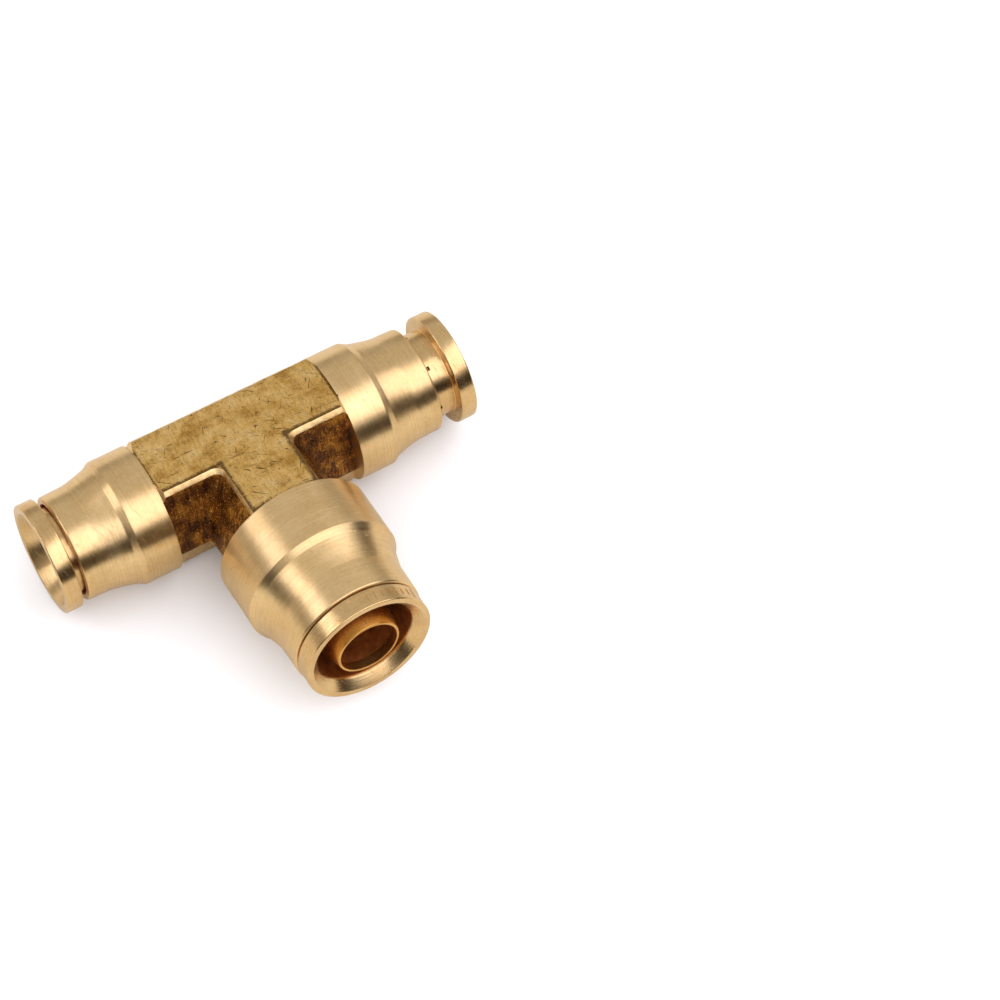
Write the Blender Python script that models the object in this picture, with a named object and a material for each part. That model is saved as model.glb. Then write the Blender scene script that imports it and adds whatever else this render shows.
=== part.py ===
"""Push to connect fitting: a reducing union tee for plastic air tubing, in Blender 4.5.

Two run ports lie on the X axis and take 3/8 inch tube. The branch port points along -Y
and takes 1/2 inch tube. Each port holds a tube support, a seal, a backup ring and a
slotted collet that slides in the port to release the tube.

The origin is on the block's lower flat, straight below the point where the bores cross.
Lengths are written in millimetres and turned into metres when a mesh is made.
"""

import math
from dataclasses import dataclass

import bmesh
import bpy
from mathutils import Matrix, Vector

MM = 0.001
SEGMENTS = 36          # facets round every turned surface, so neighbours' facets line up
MERGE = 1e-7           # metres, for points that meet on an axis

# --- Forged block -------------------------------------------------------------------
FLAT_HEIGHT = 8.0      # bore axis to the upper and to the lower flat
EDGE_BEVEL = 0.6       # upper edges
LOWER_BEVEL = 0.5
RUN_TOP_HALF = 4.4     # half width of the run's upper flat
RUN_DRAFT = 1.0        # how much wider each side is at the parting line
RUN_UNDERCUT = 1.4     # how much each side comes in again below it
ARM_TOP_HALF = 4.5     # the same for the arm that carries the branch
ARM_DRAFT = 3.0
ARM_UNDERCUT = 1.4
PARTING_HEIGHT = -3.7  # the die's parting line, below the bore axis
CORNER_RADIUS = 1.0    # inside corners between run and arm
CORNER_STEPS = 4
SHOULDER_LAP = 0.1     # the block's ends reach this far past the barrels' shoulders
BRANCH_DRILL_POINT = -1.0  # the branch's passage stops just past the run's axis

# --- Clearances shared by every port ------------------------------------------------
TUBE_CLEARANCE = 0.11  # tube to collet bore and tube pocket, on the radius
LIP_CLEARANCE = 0.35   # collet neck to mouth, on the radius
PART_CLEARANCE = 0.05  # other round pieces in their bores, on the radius
END_CLEARANCE = 0.1    # between pieces that meet end to end
STOP_CLEARANCE = 0.05  # what a collet leaves at either end of its travel

# --- Shapes shared by every port ----------------------------------------------------
STEP_LENGTH = 0.85     # short chamfer at the end of a barrel's wide part
NOSE_WALL = 0.6        # nose round the collet chamber
NOSE_TAPER = 0.12      # the nose is this much thinner at the mouth, on the radius
MOUTH_ROUND = 0.3
FLARE_STEPS = 4
RAMP_STEP = 0.45       # collet chamber to mouth lip, on the radius
RAMP_LENGTH = 1.4
LIP_LENGTH = 1.2
TRAVEL = 2.85          # a collet's whole stroke
HEAD_LENGTH = 1.3
TOOTH_DEPTH = 0.18
TOOTH_LENGTH = 0.5
SLOT_COUNT = 6
SLOT_WIDTH = 0.6
SLOT_START = 2.0       # from the flange to the closed end of a slot
FLANGE_ROUND = 0.2
RING_LENGTH = 1.4
SEAL_SIDES = 8
SUPPORT_FIT = 0.09     # support sleeve to the tube's inside, on the radius
SUPPORT_FLANGE_LENGTH = 1.1
SUPPORT_FLANGE_STEP = 0.8


@dataclass
class Port:
    """One tube port. Distances are measured outwards from where the bores cross."""

    name: str
    direction: tuple        # outward
    tube_radius: float
    tube_inner_radius: float
    shoulder: float         # where the turned barrel starts
    mouth: float            # where it ends
    nose_length: float      # mouth back to the flare
    flare_length: float     # flare back to the end of the wide part
    barrel_step: float      # wide part to nose, on the radius
    collet_wall: float
    flange_radius: float
    flange_length: float
    cone_depth: float       # lead-in cone in the flange
    cone_ring: float        # flat ring left round it
    extension: float        # gap between flange and mouth as stored
    tube_depth: float       # mouth in to where the tube's end rests
    seal_depth: float       # mouth in to the far end of the seal's groove
    seal_section: float
    passage_radius: float
    support_wall: float
    support_reach: float    # how far the tube support stands out of the mouth
    support_nose_length: float
    support_nose_step: float

    @property
    def flare_end(self):
        return self.mouth - self.nose_length

    @property
    def ridge(self):
        return self.flare_end - self.flare_length

    @property
    def stop(self):
        return self.mouth - self.tube_depth

    @property
    def seal_start(self):
        return self.mouth - self.seal_depth

    @property
    def support_tip(self):
        return self.mouth + self.support_reach

    @property
    def bore_radius(self):
        return self.tube_radius + TUBE_CLEARANCE

    @property
    def neck_radius(self):
        return self.bore_radius + self.collet_wall

    @property
    def lip_radius(self):
        return self.neck_radius + LIP_CLEARANCE

    @property
    def chamber_radius(self):
        return self.lip_radius + RAMP_STEP

    @property
    def nose_radius(self):
        return self.chamber_radius + NOSE_WALL

    @property
    def wide_radius(self):
        return self.nose_radius + self.barrel_step

    @property
    def seal_outer_radius(self):
        return self.tube_radius - PART_CLEARANCE + self.seal_section

    @property
    def gland_radius(self):
        return self.seal_outer_radius + PART_CLEARANCE

    @property
    def seal_end(self):
        return self.seal_start + self.seal_section + 2 * END_CLEARANCE

    @property
    def ring_end(self):
        return self.seal_end + RING_LENGTH

    @property
    def support_radius(self):
        return self.tube_inner_radius - SUPPORT_FIT

    @property
    def support_flange_radius(self):
        return self.support_radius + SUPPORT_FLANGE_STEP

    @property
    def support_start(self):
        return self.stop - END_CLEARANCE - SUPPORT_FLANGE_LENGTH

    @property
    def seat(self):
        return self.support_start - END_CLEARANCE

    @property
    def flange_back(self):
        return self.mouth + self.extension


RUN_SIZES = dict(
    tube_radius=9.53 / 2,
    tube_inner_radius=6.38 / 2,
    shoulder=12.9,
    mouth=25.15,
    nose_length=3.15,
    flare_length=4.3,
    barrel_step=1.3,
    collet_wall=0.83,
    flange_radius=7.35,
    flange_length=2.2,
    cone_depth=2.0,
    cone_ring=1.05,
    tube_depth=16.65,
    seal_depth=11.05,
    seal_section=1.7,
    passage_radius=3.0,
    support_wall=0.45,
    support_reach=0.35,
    support_nose_length=1.8,
    support_nose_step=0.4,
)
BRANCH_SIZES = dict(
    tube_radius=12.70 / 2,
    tube_inner_radius=9.55 / 2,
    shoulder=13.7,
    mouth=30.05,
    nose_length=4.25,
    flare_length=4.5,
    barrel_step=1.5,
    collet_wall=0.9,
    flange_radius=8.5,
    flange_length=2.6,
    cone_depth=1.25,
    cone_ring=0.8,
    tube_depth=19.05,
    seal_depth=12.45,
    seal_section=1.78,
    passage_radius=4.1,
    support_wall=0.5,
    support_reach=2.6,
    support_nose_length=2.2,
    support_nose_step=0.5,
)
PORTS = [
    Port(name="run_left", direction=(-1, 0, 0), extension=0.9, **RUN_SIZES),
    Port(name="run_right", direction=(1, 0, 0), extension=2.7, **RUN_SIZES),
    Port(name="branch", direction=(0, -1, 0), extension=0.15, **BRANCH_SIZES),
]


def clear_scene():
    for old in list(bpy.data.objects):
        bpy.data.objects.remove(old, do_unlink=True)


def make_material(name, colour, roughness, metallic):
    material = bpy.data.materials.new(name)
    material.use_nodes = True
    shader = material.node_tree.nodes["Principled BSDF"]
    shader.inputs["Base Color"].default_value = (*colour, 1)
    shader.inputs["Roughness"].default_value = roughness
    shader.inputs["Metallic"].default_value = metallic
    return material


def to_port(port):
    """Turns +Z into the port's outward direction and lifts it to the bore axis."""
    turn = Vector((0, 0, 1)).rotation_difference(Vector(port.direction))
    return Matrix.Translation((0, 0, FLAT_HEIGHT * MM)) @ turn.to_matrix().to_4x4()


def add_object(name, mesh_builder, material, matrix):
    mesh = bpy.data.meshes.new(name)
    bmesh.ops.recalc_face_normals(mesh_builder, faces=mesh_builder.faces)
    mesh_builder.to_mesh(mesh)
    mesh_builder.free()
    mesh.shade_smooth()
    mesh.set_sharp_from_angle(angle=math.radians(28))
    made = bpy.data.objects.new(name, mesh)
    bpy.context.collection.objects.link(made)
    made.matrix_world = matrix
    if material:
        mesh.materials.append(material)
    return made


def lathe(outline):
    """Turns a closed outline of (radius, distance) points, in mm, about Z."""
    builder = bmesh.new()
    points = [builder.verts.new((r * MM, 0, s * MM)) for r, s in outline]
    on_axis = outline[0][0] == 0 and outline[-1][0] == 0
    pairs = list(zip(points, points[1:]))
    if not on_axis:
        pairs.append((points[-1], points[0]))
    edges = [builder.edges.new(pair) for pair in pairs]
    bmesh.ops.spin(
        builder,
        geom=edges + points,
        cent=(0, 0, 0),
        axis=(0, 0, 1),
        angle=2 * math.pi,
        steps=SEGMENTS,
        use_merge=True,
    )
    bmesh.ops.remove_doubles(builder, verts=builder.verts, dist=MERGE)
    return builder


def as_cutter(made):
    made.hide_render = True
    made.display_type = "WIRE"
    return made


def add_boolean(target, operation, other):
    step = target.modifiers.new(f"{operation.lower()}_{other.name}", "BOOLEAN")
    step.operation = operation
    step.solver = "EXACT"
    step.object = other


# --- Body ---------------------------------------------------------------------------
def block_levels():
    """(height, run half width, arm half width) from the upper flat to the lower one."""
    run_edge = RUN_TOP_HALF + EDGE_BEVEL
    arm_edge = ARM_TOP_HALF + EDGE_BEVEL
    upper = FLAT_HEIGHT - EDGE_BEVEL
    levels = [(FLAT_HEIGHT, RUN_TOP_HALF, ARM_TOP_HALF), (upper, run_edge, arm_edge)]
    for share in (0.3, 0.65, 1.0):
        height = upper + (PARTING_HEIGHT - upper) * share
        bulge = math.sin(share * math.pi / 2)
        levels.append((height, run_edge + RUN_DRAFT * share, arm_edge + ARM_DRAFT * bulge))
    _, run_widest, arm_widest = levels[-1]
    run_low = run_widest - RUN_UNDERCUT
    arm_low = arm_widest - ARM_UNDERCUT
    levels.append((LOWER_BEVEL - FLAT_HEIGHT, run_low, arm_low))
    levels.append((-FLAT_HEIGHT, run_low - LOWER_BEVEL, arm_low - LOWER_BEVEL))
    return levels


def block_outline(run_half, arm_half, run_end, arm_end):
    """The T shape seen from above, with rounded inside corners."""
    centre_x = arm_half + CORNER_RADIUS
    centre_y = run_half + CORNER_RADIUS
    corner = []
    for step in range(CORNER_STEPS + 1):
        angle = math.pi / 2 * step / CORNER_STEPS
        corner.append((centre_x - CORNER_RADIUS * math.sin(angle),
                       centre_y - CORNER_RADIUS * math.cos(angle)))
    right = [(run_end, run_half)] + corner + [(arm_half, arm_end)]
    left = [(-x, y) for x, y in reversed(right)]
    back = [(-run_end, -run_half), (run_end, -run_half)]
    return [(x, -y) for x, y in right + left + back]


def add_block():
    run_end = RUN_SIZES["shoulder"] + SHOULDER_LAP
    arm_end = BRANCH_SIZES["shoulder"] + SHOULDER_LAP
    builder = bmesh.new()
    loops = []
    for height, run_half, arm_half in block_levels():
        outline = block_outline(run_half, arm_half, run_end, arm_end)
        loops.append([
            builder.verts.new((x * MM, y * MM, (FLAT_HEIGHT + height) * MM))
            for x, y in outline
        ])
    builder.faces.new(loops[0])
    builder.faces.new(loops[-1])
    count = len(loops[0])
    for upper, lower in zip(loops, loops[1:]):
        for i in range(count):
            j = (i + 1) % count
            builder.faces.new((upper[i], upper[j], lower[j], lower[i]))
    return add_object("body", builder, BRASS, Matrix.Identity(4))


def barrel_outline(port):
    """Outside of one barrel, from its root inside the block to its mouth."""
    root = RUN_TOP_HALF - 0.4
    step_end = port.ridge + STEP_LENGTH
    step_drop = 0.4 * port.barrel_step
    outline = [(0, port.shoulder - 2), (root, port.shoulder - 2), (root, port.shoulder)]
    outline += [(port.wide_radius, port.shoulder), (port.wide_radius, port.ridge)]
    flare_top = port.wide_radius - step_drop
    flare_drop = flare_top - port.nose_radius
    for i in range(FLARE_STEPS + 1):
        share = i / FLARE_STEPS
        s = step_end + (port.flare_end - step_end) * share
        outline.append((flare_top - flare_drop * math.sin(share * math.pi / 2), s))
    mouth_radius = port.nose_radius - NOSE_TAPER
    outline.append((mouth_radius, port.mouth - MOUTH_ROUND))
    outline.append((mouth_radius - MOUTH_ROUND * 0.3, port.mouth - MOUTH_ROUND * 0.3))
    outline.append((mouth_radius - MOUTH_ROUND, port.mouth))
    outline.append((0, port.mouth))
    return outline


def passage_outline(port, start):
    """Air passage behind the tube support, drilled from one port."""
    end = port.seat + END_CLEARANCE
    return [(0, start), (port.passage_radius, start), (port.passage_radius, end), (0, end)]


def bore_outline(port):
    """Inside of one port, from the tube support's seat to just past the mouth."""
    flange_bore = port.support_flange_radius + PART_CLEARANCE
    ramp_end = port.mouth - LIP_LENGTH
    lead = MOUTH_ROUND
    return [
        (0, port.seat),
        (flange_bore, port.seat),
        (flange_bore, port.stop),
        (port.bore_radius, port.stop),
        (port.bore_radius, port.seal_start),
        (port.gland_radius, port.seal_start),
        (port.gland_radius, port.ring_end),
        (port.chamber_radius, port.ring_end + END_CLEARANCE),
        (port.chamber_radius, ramp_end - RAMP_LENGTH),
        (port.lip_radius, ramp_end),
        (port.lip_radius, port.mouth - lead / 2),
        (port.lip_radius + lead, port.mouth + lead / 2),
        (0, port.mouth + lead / 2),
    ]


def add_body():
    body = add_block()
    for port in PORTS:
        place = to_port(port)
        barrel = add_object(f"{port.name}_barrel", lathe(barrel_outline(port)), None, place)
        add_boolean(body, "UNION", as_cutter(barrel))
    for port in PORTS:
        bore = add_object(f"{port.name}_bore", lathe(bore_outline(port)), None, to_port(port))
        add_boolean(body, "DIFFERENCE", as_cutter(bore))
    run, branch = PORTS[-2:]
    for port, start in ((run, -run.seat - END_CLEARANCE), (branch, BRANCH_DRILL_POINT)):
        drill = lathe(passage_outline(port, start))
        drill = add_object(f"{port.name}_drill", drill, None, to_port(port))
        add_boolean(body, "DIFFERENCE", as_cutter(drill))
    return body


# --- What each port holds -----------------------------------------------------------
def add_support(port):
    """Thin sleeve that keeps the tube round, seated by a flange behind the tube stop."""
    inner = port.support_radius - port.support_wall
    start = port.support_start
    shelf = start + SUPPORT_FLANGE_LENGTH
    nose = port.support_tip - port.support_nose_length
    tip = port.support_radius - port.support_nose_step
    round_off = 0.1
    outline = [
        (inner, start),
        (port.support_flange_radius, start),
        (port.support_flange_radius, shelf),
        (port.support_radius, shelf),
        (port.support_radius, nose),
        (tip, port.support_tip - round_off),
        (tip - round_off, port.support_tip),
        (tip - 2.5 * round_off, port.support_tip),
        (inner - port.support_nose_step + 1.5 * round_off, port.support_tip - round_off),
        (inner, nose),
    ]
    add_object(f"{port.name}_tube_support", lathe(outline), BRASS, to_port(port))


def add_seal(port):
    section = port.seal_section / 2
    middle = port.seal_outer_radius - section
    centre = port.seal_start + END_CLEARANCE + section
    outline = []
    for i in range(SEAL_SIDES):
        angle = 2 * math.pi * (i + 0.5) / SEAL_SIDES
        outline.append((middle + section * math.cos(angle), centre + section * math.sin(angle)))
    add_object(f"{port.name}_o_ring", lathe(outline), RUBBER, to_port(port))


def add_backup_ring(port):
    inner = port.bore_radius + PART_CLEARANCE
    outer = port.gland_radius - PART_CLEARANCE
    outline = [
        (inner, port.seal_end),
        (outer, port.seal_end),
        (outer, port.ring_end),
        (inner, port.ring_end),
    ]
    add_object(f"{port.name}_backup_ring", lathe(outline), ACETAL, to_port(port))


def collet_outline(port):
    """Flange, neck and toothed head; 0 is the flange's back face, negative is inwards."""
    inner = port.bore_radius
    flange = port.flange_radius
    cone = flange - port.cone_ring
    ramp_at_stop = port.mouth - LIP_LENGTH - (port.mouth + TRAVEL + 2 * STOP_CLEARANCE)
    slope = RAMP_LENGTH / RAMP_STEP
    head = port.chamber_radius - 2 * PART_CLEARANCE
    ramp = ramp_at_stop - PART_CLEARANCE * slope
    neck_end = ramp + (port.lip_radius - port.neck_radius) * slope
    head_front = ramp - (head - port.lip_radius) * slope
    tip = head_front - HEAD_LENGTH
    tooth = tip + 2 * TOOTH_LENGTH
    return [
        (inner, tip),
        (head - 0.2, tip),
        (head, tip + 0.2),
        (head, head_front),
        (port.neck_radius, neck_end),
        (port.neck_radius, 0),
        (flange - FLANGE_ROUND, 0),
        (flange, FLANGE_ROUND),
        (flange, port.flange_length - FLANGE_ROUND),
        (flange - FLANGE_ROUND, port.flange_length),
        (cone, port.flange_length),
        (inner, port.flange_length - port.cone_depth),
        (inner, tooth),
        (inner - TOOTH_DEPTH, tooth - 0.1),
        (inner, tooth - TOOTH_LENGTH),
    ], tip


def add_slot_cutter(port, tip, place):
    """Six radial blades that split the collet into fingers."""
    builder = bmesh.new()
    reach = port.chamber_radius + 1
    start = port.bore_radius - 1
    low = tip - 1
    high = -SLOT_START
    for i in range(SLOT_COUNT):
        turn = Matrix.Rotation(2 * math.pi * (i + 0.5) / SLOT_COUNT, 4, "Z")
        size = Vector((reach - start, SLOT_WIDTH, high - low)) * MM
        middle = Vector(((reach + start) / 2, 0, (high + low) / 2)) * MM
        grow = Matrix.Diagonal((*size, 1))
        bmesh.ops.create_cube(builder, size=1, matrix=turn @ Matrix.Translation(middle) @ grow)
    return as_cutter(add_object(f"{port.name}_slots", builder, None, place))


def add_collet(port):
    outline, tip = collet_outline(port)
    place = to_port(port) @ Matrix.Translation((0, 0, port.flange_back * MM))
    collet = add_object(f"{port.name}_collet", lathe(outline), BRASS, place)
    add_boolean(collet, "DIFFERENCE", add_slot_cutter(port, tip, place))


def add_port_pieces(port):
    add_support(port)
    add_seal(port)
    add_backup_ring(port)
    add_collet(port)


clear_scene()
BRASS = make_material("brass", (0.80, 0.60, 0.33), 0.32, 1.0)
RUBBER = make_material("nitrile_rubber", (0.02, 0.02, 0.02), 0.6, 0.0)
ACETAL = make_material("acetal", (0.75, 0.72, 0.65), 0.45, 0.0)
add_body()
for each_port in PORTS:
    add_port_pieces(each_port)
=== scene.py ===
"""Looks of the push to connect fitting: a forged brass tee with three turned tube ports.

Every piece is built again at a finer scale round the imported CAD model. Lengths are in
millimetres in the object's own frame, and `place` turns them into metres.
"""

import math

import bmesh
import bpy
from mathutils import Matrix, Vector, noise


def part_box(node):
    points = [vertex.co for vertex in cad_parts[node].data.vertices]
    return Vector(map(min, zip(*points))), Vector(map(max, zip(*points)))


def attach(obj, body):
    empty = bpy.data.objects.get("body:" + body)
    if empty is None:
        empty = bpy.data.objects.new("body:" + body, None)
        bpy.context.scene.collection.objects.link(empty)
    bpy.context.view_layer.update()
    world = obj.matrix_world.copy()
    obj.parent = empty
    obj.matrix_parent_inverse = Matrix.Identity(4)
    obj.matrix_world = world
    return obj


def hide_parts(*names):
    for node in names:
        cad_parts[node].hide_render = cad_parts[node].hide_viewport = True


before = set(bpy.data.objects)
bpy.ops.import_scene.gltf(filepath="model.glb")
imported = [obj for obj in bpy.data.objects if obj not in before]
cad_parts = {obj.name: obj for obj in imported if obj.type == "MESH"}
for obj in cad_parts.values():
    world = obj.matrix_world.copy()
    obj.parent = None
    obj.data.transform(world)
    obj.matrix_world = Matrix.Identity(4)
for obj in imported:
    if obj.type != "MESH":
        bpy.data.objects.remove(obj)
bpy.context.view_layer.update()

MM = 0.001
SEGMENTS = 180           # round every turned surface
SHARP_ANGLE = 30         # degrees; edges that turn more are shaded sharp


# --- Sizes read from the CAD model ----------------------------------------------------
def span(node, axis):
    """Lowest and highest place of a CAD node along one axis, in mm."""
    low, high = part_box(node)
    return low[axis] / MM, high[axis] / MM


AXIS_HEIGHT = sum(span("run_left_o_ring", 2)) / 2
FLAT_TOP = 2 * AXIS_HEIGHT
RUN_WIDE = span("body", 1)[1]
BRANCH_WIDE = AXIS_HEIGHT - span("body", 2)[0]


class Port:
    """One tube port. Distances run outwards from where the bores cross, in mm, and what
    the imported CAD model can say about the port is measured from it."""

    def __init__(self, name, direction, **sizes):
        self.name = name
        self.direction = Vector(direction)
        self.axis = 0 if direction[0] else 1
        self.__dict__.update(sizes)
        self.collar_front = self.reach("collet")
        self.collar_radius = self.radius("collet")
        self.seal_outer = self.radius("o_ring")
        self.seal_centre = self.middle("o_ring")
        self.support_tip = self.reach("tube_support")
        self.support_flange = self.radius("tube_support")
        self.ring_start, self.ring_end = self.ends("backup_ring")
        self.ring_outer = self.radius("backup_ring")
        self.collet_tip = self.ends("collet")[0]
        self.support_start = self.ends("tube_support")[0]
        self.flange_back = self.collar_front - self.flange_length
        self.mouth = self.flange_back - self.extension
        self.nose = self.chamber + self.nose_wall
        self.flare_end = self.mouth - self.nose_length
        self.ridge = self.flare_end - self.flare_length

    def ends(self, part):
        """Inner and outer end of one of the port's parts."""
        low, high = span(f"{self.name}_{part}", self.axis)
        if self.direction[self.axis] < 0:
            return -high, -low
        return low, high

    def reach(self, part):
        return self.ends(part)[1]

    def middle(self, part):
        return sum(self.ends(part)) / 2

    def radius(self, part):
        return span(f"{self.name}_{part}", 2)[1] - AXIS_HEIGHT

    def matrix(self):
        """Turns +Z into the port's outward direction, from where the bores cross."""
        turn = Vector((0, 0, 1)).rotation_difference(self.direction)
        return Matrix.Translation((0, 0, AXIS_HEIGHT)) @ turn.to_matrix().to_4x4()


# Sizes that the CAD model's boxes don't show. `wide`, `bore`, `neck`, `lip`, `chamber` and
# `passage` are radii: of the barrel, the tube's bore, the collet's neck, the mouth, the room
# behind it and the way to the other ports.
RUN_SIZES = dict(
    wide=RUN_WIDE,
    shoulder=12.9,
    nose_length=3.15,
    flare_length=4.3,
    step_drop=0.52,
    bore=4.875,
    neck=5.705,
    lip=6.055,
    chamber=6.505,
    nose_wall=0.6,
    flange_length=2.2,
    cone_depth=2.0,
    cone_ring=1.05,
    support_radius=3.1,
    support_bore=2.65,
    support_nose=1.8,
    support_step=0.4,
    passage=3.0,
    seal_section=1.7,
)
BRANCH_SIZES = dict(
    wide=BRANCH_WIDE,
    shoulder=13.7,
    nose_length=4.25,
    flare_length=4.5,
    step_drop=0.6,
    bore=6.46,
    neck=7.36,
    lip=7.71,
    chamber=8.16,
    nose_wall=0.6,
    flange_length=2.6,
    cone_depth=1.25,
    cone_ring=0.8,
    support_radius=4.685,
    support_bore=4.185,
    support_nose=2.2,
    support_step=0.5,
    passage=4.1,
    seal_section=1.78,
)
PORTS = [
    Port("run_left", (-1, 0, 0), extension=0.9, **RUN_SIZES),
    Port("run_right", (1, 0, 0), extension=2.7, **RUN_SIZES),
    Port("branch", (0, -1, 0), extension=0.15, **BRANCH_SIZES),
]
LEFT, RIGHT, BRANCH = PORTS

# Barrels and bores
ROOT_LENGTH = 2.0        # how far a barrel's root reaches into the block
ROOT_INSET = 0.4         # and how much thinner than the block it is
SHOULDER_BAND = 0.3      # a narrow band beside the shoulder keeps the barrel's shading clean
STEP_LENGTH = 0.85
FLARE_ROWS = 10
FLARE_BEND = 1.05        # radians of the sine that the flare follows
NOSE_TAPER = 0.07
MOUTH_ROUND = 0.3
LIP_LENGTH = 1.2
RAMP_LENGTH = 1.4
SEAT_GAP = 0.1           # clearance behind the tube support
STOP_LENGTH = 1.2        # depth of the recess for the support's flange
FIT_GAP = 0.05           # clearance round the pieces that sit in a bore
GROOVE_GAP = 0.1         # play beyond the ends of the seal's groove
CUT_REACH = 3.0          # how far the lathe's cut on the block's corners is followed
BRANCH_DRILL_START = -1.0  # just past where the bores cross

# Tube supports, seals and collets
SUPPORT_SHELF = 1.1      # thickness of the support's flange
SUPPORT_LIP = 0.32       # wall left at the support's tip
SUPPORT_SHADE_START = 0.8       # the bore takes painted shade from this far inside the tip
SEAL_SIDES = 28
FLANGE_ROUND = 0.2
HEAD_GAP = 0.1           # clearance round the collet's head
HEAD_LENGTH = 1.3
SLOT_COUNT = 6
SLOT_WIDTH = 0.6
SLOT_START = 2.0
SLOT_MARGIN = 1.0        # how far the cutter reaches past what it cuts
TOOTH_DEPTH = 0.18
TOOTH_END = 1.0          # outer end of the grip tooth, from the collet's tip
TOOTH_CREST = 0.1        # its crest and its inner end, from its outer end
TOOTH_LENGTH = 0.5
CONE_SHADE_START = 0.2          # the collet's bore takes painted shade from this far behind its cone
BORE_MARGIN = 0.01       # faces up to this far outside a bore's radius count as its wall
MARK_COUNT = 10          # ticks stamped on the branch collar
MARK_START = 35          # degrees
MARK_STEP = 7
MARK_LONG = 1.5
MARK_SHORT = 1.0
MARK_WIDTH = 0.26
MARK_DEPTH = 0.09
MARK_LONG_EVERY = 3

# The forged block
EDGE_BEVEL = 0.6
ARM_BEVEL_WIDTH = 0.35
LOWER_BEVEL = 0.5
FLAT_INSET = 0.5         # width of the ring of faces round each flat
RUN_TOP_HALF = 4.4
RUN_DRAFT = 1.0
RUN_UNDERCUT = 1.4
ARM_TOP_HALF = 4.5
ARM_DRAFT = 3.0
ARM_UNDERCUT = 1.4
PARTING_HEIGHT = 4.3
CORNER_RADIUS = 1.4      # inside corners at the upper flat, tighter further down
LOW_CORNER_RADIUS = 0.6
CORNER_POINTS = 6
SHOULDER_LAP = 0.1       # how far the block reaches into the barrels
SHOULDER_SLOPE = 0.75
OUTLINE_STEP = 0.3       # spacing of points along the block's outline
DRAFT_ROWS = 12
WOBBLE_SEED = 3.7
WOBBLE_MARGIN = 0.2      # the block stays exact this close to the barrels
ARM_MARGIN = 0.3         # this far out from the run's side, the outline is the arm's
FLAT_BAND = 0.05         # faces this close to a flat's height belong to it


# --- Mesh helpers ---------------------------------------------------------------------
def rounded(outline, radii, closed=True, steps=4):
    """The outline with the corners that `radii` names by index turned into short curves."""
    count = len(outline)
    made = []
    for i, here in enumerate(outline):
        radius = radii.get(i, 0)
        ends = not closed and i in (0, count - 1)
        if not radius or ends:
            made.append(tuple(here))
            continue
        here = Vector(here)
        before = Vector(outline[i - 1]) - here
        after = Vector(outline[(i + 1) % count]) - here
        cut = min(radius, before.length * 0.49, after.length * 0.49)
        start = here + before.normalized() * cut
        end = here + after.normalized() * cut
        for k in range(steps + 1):
            t = k / steps
            point = start * (1 - t) ** 2 + here * 2 * t * (1 - t) + end * t * t
            made.append(tuple(point))
    return made


def finish_mesh(name, builder, materials):
    """Turns the builder's mesh into a shaded object of the scene."""
    mesh = bpy.data.meshes.new(name)
    builder.normal_update()
    builder.to_mesh(mesh)
    builder.free()
    for material in materials:
        mesh.materials.append(material)
    mesh.shade_smooth()
    mesh.set_sharp_from_angle(angle=math.radians(SHARP_ANGLE))
    made = bpy.data.objects.new(name, mesh)
    bpy.context.scene.collection.objects.link(made)
    return made


def place(builder, matrix):
    """Moves a mesh from its own mm to the frame's metres."""
    builder.transform(Matrix.Scale(MM, 4) @ matrix)


def add_ring(builder, radius, distance):
    """The vertices of one ring, or a single vertex where the outline is on the axis."""
    if radius == 0:
        return [builder.verts.new((0, 0, distance))]
    ring = []
    for k in range(SEGMENTS):
        angle = 2 * math.pi * k / SEGMENTS
        spot = (radius * math.cos(angle), radius * math.sin(angle), distance)
        ring.append(builder.verts.new(spot))
    return ring


def turned(name, outline, matrix, materials, slot=0):
    """A closed outline of (radius, distance) turned about the port's axis. The UV map
    counts turns round the axis in U and mm along the outline in V, which gives the tool
    marks their direction and size."""
    builder = bmesh.new()
    uv = builder.loops.layers.uv.new("turning")
    count = len(outline)
    lengths = [0]
    for a, b in zip(outline, outline[1:] + outline[:1]):
        lengths.append(lengths[-1] + math.dist(a, b))
    rings = [add_ring(builder, radius, distance) for radius, distance in outline]
    for i in range(count):
        here, there = rings[i], rings[(i + 1) % count]
        if len(here) == 1 and len(there) == 1:
            continue
        for k in range(SEGMENTS):
            corners = [(here, k, i), (here, k + 1, i), (there, k + 1, i + 1), (there, k, i + 1)]
            if len(here) == 1:
                corners = [(here, k, i), (there, k + 1, i + 1), (there, k, i + 1)]
            if len(there) == 1:
                corners = [(here, k, i), (here, k + 1, i), (there, k, i + 1)]
            face = builder.faces.new([ring[m % len(ring)] for ring, m, _ in corners])
            face.material_index = slot
            for loop, (_, m, row) in zip(face.loops, corners):
                loop[uv].uv = (m / SEGMENTS, lengths[row])
    bmesh.ops.recalc_face_normals(builder, faces=builder.faces)
    place(builder, matrix)
    return finish_mesh(name, builder, materials)


def combine(target, other, operation):
    """Adds or cuts one closed mesh, keeps the result and removes the other."""
    step = target.modifiers.new("combine", "BOOLEAN")
    step.operation = operation
    step.solver = "MANIFOLD"
    step.object = other
    graph = bpy.context.evaluated_depsgraph_get()
    mesh = bpy.data.meshes.new_from_object(target.evaluated_get(graph))
    target.modifiers.clear()
    target.data = mesh
    bpy.data.objects.remove(other)


def smooth_again(made):
    """Smooth shading that the large faces lead, so a small bevel reads as a crisp edge."""
    made.data.shade_smooth()
    made.data.set_sharp_from_angle(angle=math.radians(SHARP_ANGLE))
    normals = made.modifiers.new("normals", "WEIGHTED_NORMAL")
    normals.keep_sharp = True


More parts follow.
